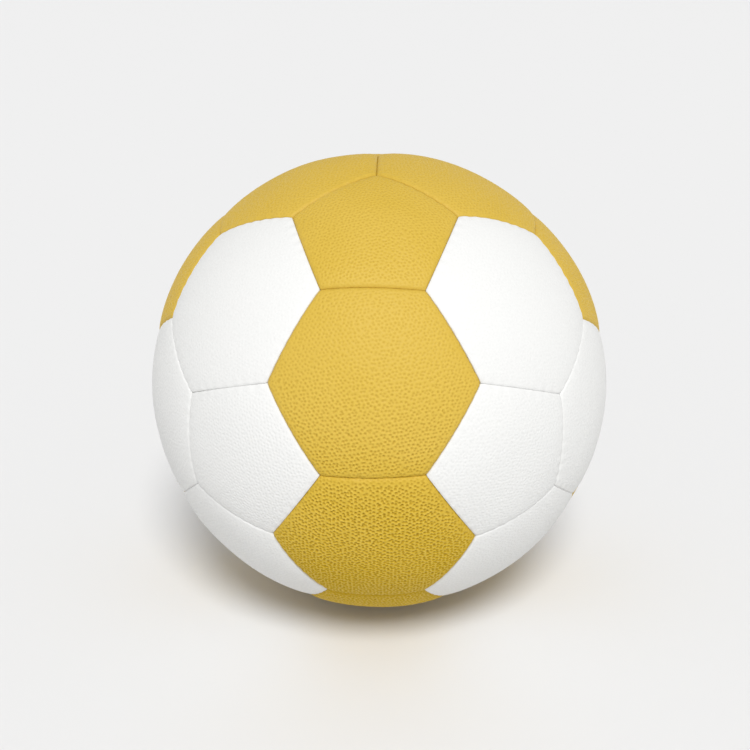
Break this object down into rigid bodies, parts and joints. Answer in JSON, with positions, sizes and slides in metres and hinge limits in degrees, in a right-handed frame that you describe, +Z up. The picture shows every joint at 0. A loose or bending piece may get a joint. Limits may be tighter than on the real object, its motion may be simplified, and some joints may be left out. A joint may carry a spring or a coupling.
{
  "type": "medicine ball",
  "caption": "Soft stuffed exercise ball with a two-colour cover of sewn pentagon and hexagon leather panels around packed fibre and a central weight bag.",
  "frame": {"origin": "the ball's centre", "axes": "+Z up. X, Y and Z each pass through the middle of a seam between two hexagons. The ball's front, with a yellow pentagon above and a column of yellow hexagons below it, faces -Y, and the white pentagons lie round the waist."},
  "size_m": [0.1992, 0.1992, 0.1992],
  "materials": {
    "yellow_cover": "satin pebble-grained synthetic leather, warm yellow",
    "white_cover": "satin pebble-grained synthetic leather, white",
    "panel_backing": "plain-woven cotton and polyester lining, natural",
    "foam_padding": "fine-celled soft foam, off-white, matte",
    "stitching_thread": "waxed twisted polyester thread, off-white",
    "packed_fibre": "packed textile fibre, mottled grey, matte",
    "weight_bag_cloth": "tight cotton canvas, natural",
    "dry_sand": "fine dry sand, matte"
  },
  "bodies": {
    "root": {"hexagon_backings": "panel_backing", "hexagon_foam_pads": "foam_padding", "hexagon_seam_threads": "stitching_thread", "lower_stuffing": "packed_fibre", "pentagon_backings": "panel_backing", "pentagon_foam_pads": "foam_padding", "pentagon_seam_threads": "stitching_thread", "sand_filling": "dry_sand", "upper_stuffing": "packed_fibre", "weight_bag_lower_half": "weight_bag_cloth", "weight_bag_thread": "stitching_thread", "weight_bag_upper_half": "weight_bag_cloth", "white_hexagon_panel_01": "white_cover", "white_hexagon_panel_02": "white_cover", "white_hexagon_panel_03": "white_cover", "white_hexagon_panel_04": "white_cover", "white_hexagon_panel_05": "white_cover", "white_hexagon_panel_06": "white_cover", "white_hexagon_panel_07": "white_cover", "white_hexagon_panel_08": "white_cover", "white_hexagon_panel_09": "white_cover", "white_hexagon_panel_10": "white_cover", "white_hexagon_panel_11": "white_cover", "white_hexagon_panel_12": "white_cover", "white_pentagon_panel_01": "white_cover", "white_pentagon_panel_02": "white_cover", "white_pentagon_panel_03": "white_cover", "white_pentagon_panel_04": "white_cover", "yellow_hexagon_panel_01": "yellow_cover", "yellow_hexagon_panel_02": "yellow_cover", "yellow_hexagon_panel_03": "yellow_cover", "yellow_hexagon_panel_04": "yellow_cover", "yellow_hexagon_panel_05": "yellow_cover", "yellow_hexagon_panel_06": "yellow_cover", "yellow_hexagon_panel_07": "yellow_cover", "yellow_hexagon_panel_08": "yellow_cover", "yellow_pentagon_panel_01": "yellow_cover", "yellow_pentagon_panel_02": "yellow_cover", "yellow_pentagon_panel_03": "yellow_cover", "yellow_pentagon_panel_04": "yellow_cover", "yellow_pentagon_panel_05": "yellow_cover", "yellow_pentagon_panel_06": "yellow_cover", "yellow_pentagon_panel_07": "yellow_cover", "yellow_pentagon_panel_08": "yellow_cover"}
  },
  "joints": []
}
